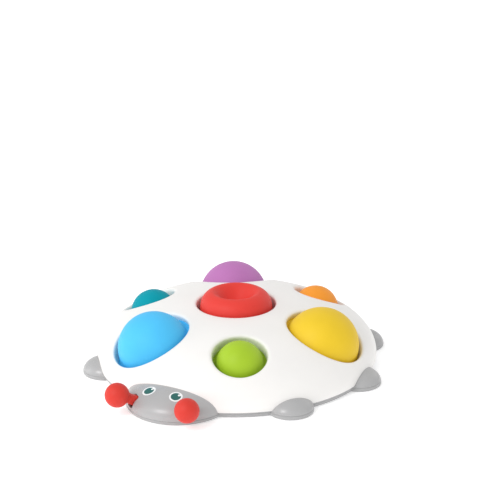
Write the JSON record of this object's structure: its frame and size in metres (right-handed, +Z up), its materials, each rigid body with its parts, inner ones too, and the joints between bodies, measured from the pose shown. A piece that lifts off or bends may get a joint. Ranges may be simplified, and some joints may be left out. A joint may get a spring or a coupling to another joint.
{
  "type": "bubble pop fidget toy",
  "caption": "Round beetle-shaped push-bubble toy: a low shell with soft domes that pop through to the underside, stubby legs, and a head with nodding ball antennae.",
  "frame": {"origin": "on the table plane, under the middle of the bounding box", "axes": "+Z up from the table, -Y towards the head, +X to the right of somebody who faces the head"},
  "size_m": [0.1818, 0.1864, 0.0437],
  "materials": {
    "shell_white": "satin warm white moulded plastic",
    "toy_grey": "satin light grey moulded plastic",
    "silicone_red": "matte silicone",
    "silicone_blue": "matte silicone",
    "silicone_green": "matte silicone",
    "silicone_yellow": "matte silicone",
    "silicone_orange": "matte silicone",
    "silicone_purple": "matte silicone",
    "silicone_teal": "matte silicone",
    "screw_steel": "plain steel"
  },
  "bodies": {
    "toy_body": {"top_shell": "shell_white", "clamp_frame": "shell_white", "leg_frame": "toy_grey", "base_cover": "toy_grey", "head_cover": "toy_grey", "frame_screws": "screw_steel", "base_screws": "screw_steel", "red_skirt": "silicone_red", "blue_skirt": "silicone_blue", "green_skirt": "silicone_green", "yellow_skirt": "silicone_yellow", "orange_skirt": "silicone_orange", "purple_skirt": "silicone_purple", "teal_skirt": "silicone_teal"},
    "red_dome": {"red_crown": "silicone_red"},
    "blue_dome": {"blue_crown": "silicone_blue"},
    "green_dome": {"green_crown": "silicone_green"},
    "yellow_dome": {"yellow_crown": "silicone_yellow"},
    "orange_dome": {"orange_crown": "silicone_orange"},
    "purple_dome": {"purple_crown": "silicone_purple"},
    "teal_dome": {"teal_crown": "silicone_teal"},
    "antenna_left": {"antenna_left": "silicone_red"},
    "antenna_right": {"antenna_right": "silicone_red"}
  },
  "joints": [
    {"name": "press_red", "type": "slide", "parent": "toy_body", "child": "red_dome", "axis": [0, 0, -1], "range_m": [-0.0142, 0.0228], "deforming": ["red_skirt"]},
    {"name": "press_blue", "type": "slide", "parent": "toy_body", "child": "blue_dome", "axis": [0.2231, 0.3864, -0.8949], "range_m": [0, 0.037], "deforming": ["blue_skirt"]},
    {"name": "press_green", "type": "slide", "parent": "toy_body", "child": "green_dome", "axis": [-0.2231, 0.3864, -0.8949], "range_m": [0, 0.025], "deforming": ["green_skirt"]},
    {"name": "press_yellow", "type": "slide", "parent": "toy_body", "child": "yellow_dome", "axis": [-0.4462, 0, -0.8949], "range_m": [0, 0.037], "deforming": ["yellow_skirt"]},
    {"name": "press_orange", "type": "slide", "parent": "toy_body", "child": "orange_dome", "axis": [-0.2231, -0.3864, -0.8949], "range_m": [0, 0.025], "deforming": ["orange_skirt"]},
    {"name": "press_purple", "type": "slide", "parent": "toy_body", "child": "purple_dome", "axis": [0.2231, -0.3864, -0.8949], "range_m": [0, 0.037], "deforming": ["purple_skirt"]},
    {"name": "press_teal", "type": "slide", "parent": "toy_body", "child": "teal_dome", "axis": [0.4462, 0, -0.8949], "range_m": [0, 0.025], "deforming": ["teal_skirt"]},
    {"name": "nod_left", "type": "hinge", "parent": "toy_body", "child": "antenna_left", "pos_m": [-0.0125, -0.0754, 0.0062], "axis": [0.7539, -0.657, 0], "range_deg": [-3, 10], "stiffness_Nm_per_rad": 0.1},
    {"name": "nod_right", "type": "hinge", "parent": "toy_body", "child": "antenna_right", "pos_m": [0.0125, -0.0754, 0.0062], "axis": [0.7539, 0.657, 0], "range_deg": [-3, 10], "stiffness_Nm_per_rad": 0.1}
  ]
}
